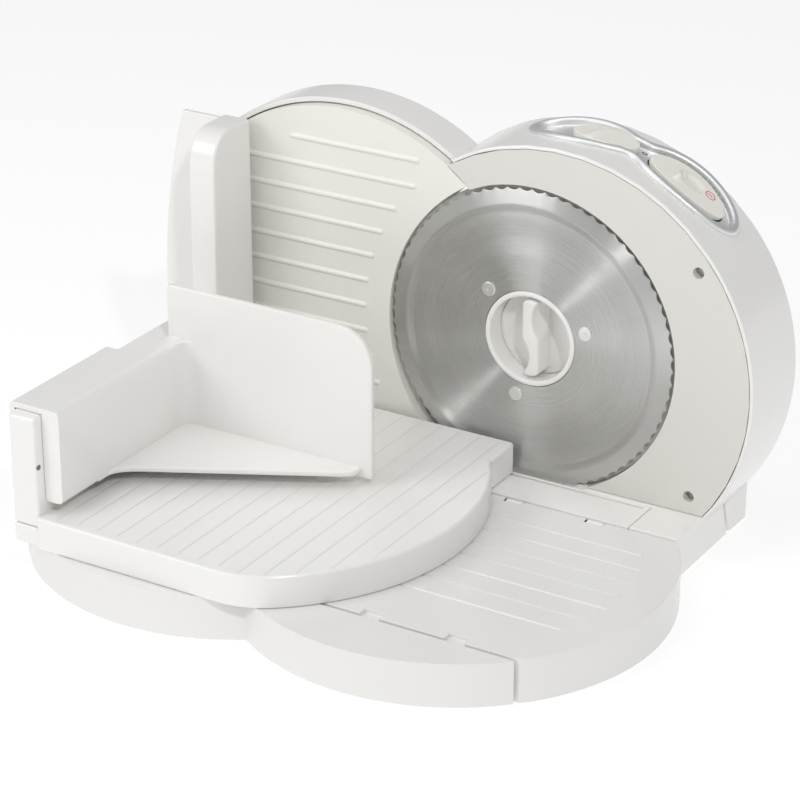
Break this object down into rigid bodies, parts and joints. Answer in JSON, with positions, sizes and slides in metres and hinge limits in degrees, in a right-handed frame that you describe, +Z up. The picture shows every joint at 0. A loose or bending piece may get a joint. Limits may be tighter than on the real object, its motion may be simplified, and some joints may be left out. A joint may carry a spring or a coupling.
{
  "type": "food slicer",
  "caption": "Folding electric food slicer with a serrated round blade, ribbed thickness plate, sliding food carriage, food pusher and a base that folds up.",
  "frame": {"origin": "on the floor under the middle of the whole slicer's box", "axes": "+X along the blade face to the right, +Y back into the body, +Z up"},
  "size_m": [0.3682, 0.2824, 0.216],
  "materials": {
    "white_plastic": "gloss moulded",
    "cream_plastic": "satin moulded",
    "silver_plating": "satin silver plating on plastic",
    "blade_steel": "brushed in circles",
    "plain_steel": "plain",
    "grey_plastic": "matt",
    "pad_rubber": "matt"
  },
  "bodies": {
    "frame": {"body_shell": "white_plastic", "front_cover": "cream_plastic", "rear_cover": "white_plastic", "guard_cup": "white_plastic", "drive_frame": "grey_plastic", "motor_can": "plain_steel", "spindle": "plain_steel", "switch_bezel": "silver_plating", "safety_switch": "grey_plastic", "power_switch": "grey_plastic", "cord_inlet": "grey_plastic", "housing_screw_1": "plain_steel", "housing_screw_2": "plain_steel", "rear_screw_1": "plain_steel", "rear_screw_2": "plain_steel", "rear_screw_3": "plain_steel", "rear_screw_4": "plain_steel", "hinge_pin_1": "plain_steel", "hinge_pin_2": "plain_steel", "hinge_pin_3": "plain_steel", "hinge_pin_4": "plain_steel", "body_pad_1": "pad_rubber", "body_pad_2": "pad_rubber", "body_pad_3": "pad_rubber", "body_pad_4": "pad_rubber"},
    "blade": {"blade": "blade_steel", "blade_hub": "white_plastic", "blade_gear": "grey_plastic", "blade_rivet_1": "plain_steel", "blade_rivet_2": "plain_steel", "blade_rivet_3": "plain_steel"},
    "lock": {"blade_lock": "white_plastic"},
    "rotor": {"motor_rotor": "plain_steel"},
    "gauge": {"gauge_plate": "cream_plastic", "cam_follower": "plain_steel", "gauge_rod_1": "plain_steel", "gauge_rod_2": "plain_steel"},
    "dial": {"thickness_dial": "white_plastic"},
    "safety": {"safety_slider": "white_plastic"},
    "power": {"power_button": "white_plastic"},
    "base": {"base_tray": "white_plastic", "base_front": "white_plastic", "base_tie_1": "grey_plastic", "base_tie_2": "grey_plastic", "base_tie_3": "grey_plastic", "base_tie_4": "grey_plastic", "base_pad_1": "pad_rubber", "base_pad_2": "pad_rubber", "base_pad_3": "pad_rubber", "base_pad_4": "pad_rubber"},
    "rail": {"rail_strip": "white_plastic"},
    "carriage": {"carriage_plate": "white_plastic", "carriage_wall": "white_plastic"},
    "pusher": {"pusher": "white_plastic"}
  },
  "joints": [
    {"name": "blade_spin", "type": "hinge", "parent": "frame", "child": "blade", "pos_m": [0.05285, 0.07525, 0.1032], "axis": [0, 1, 0], "continuous": true},
    {"name": "lock_turn", "type": "hinge", "parent": "blade", "child": "lock", "pos_m": [0.05285, 0.07525, 0.1032], "axis": [0, 1, 0], "range_deg": [0, 90]},
    {"name": "rotor_spin", "type": "hinge", "parent": "frame", "child": "rotor", "pos_m": [0.08595, 0.10575, 0.1032], "axis": [0, 0, 1], "continuous": true},
    {"name": "gauge_slide", "type": "slide", "parent": "frame", "child": "gauge", "axis": [0, 1, 0], "range_m": [0, 0.015]},
    {"name": "dial_turn", "type": "hinge", "parent": "frame", "child": "dial", "pos_m": [-0.10815, 0.12525, 0.095], "axis": [0, 1, 0], "range_deg": [0, 300]},
    {"name": "safety_slide", "type": "hinge", "parent": "frame", "child": "safety", "pos_m": [0.06585, 0.10775, 0.095], "axis": [0, -1, 0], "range_deg": [0, 4.8]},
    {"name": "power_press", "type": "slide", "parent": "frame", "child": "power", "axis": [-0.518, 0, -0.8554], "range_m": [0, 0.003], "stiffness_N_per_m": 600, "springref_m": -0.002},
    {"name": "base_fold", "type": "hinge", "parent": "frame", "child": "base", "pos_m": [0.00135, 0.04255, 0.0226], "axis": [-1, 0, 0], "range_deg": [0, 90]},
    {"name": "rail_lift", "type": "slide", "parent": "frame", "child": "rail", "axis": [0, 0, 1], "range_m": [0, 0.3927]},
    {"name": "carriage_slide", "type": "slide", "parent": "rail", "child": "carriage", "axis": [1, 0, 0], "range_m": [0, 0.15]},
    {"name": "pusher_slide", "type": "slide", "parent": "carriage", "child": "pusher", "axis": [0, 1, 0], "range_m": [0, 0.072]}
  ],
  "couplings": [
    {"joint": "rotor_spin", "follows": "blade_spin", "ratio": 40},
    {"joint": "dial_turn", "follows": "gauge_slide", "rad_per_m": 349.07},
    {"joint": "rail_lift", "follows": "base_fold", "m_per_rad": 0.25}
  ]
}
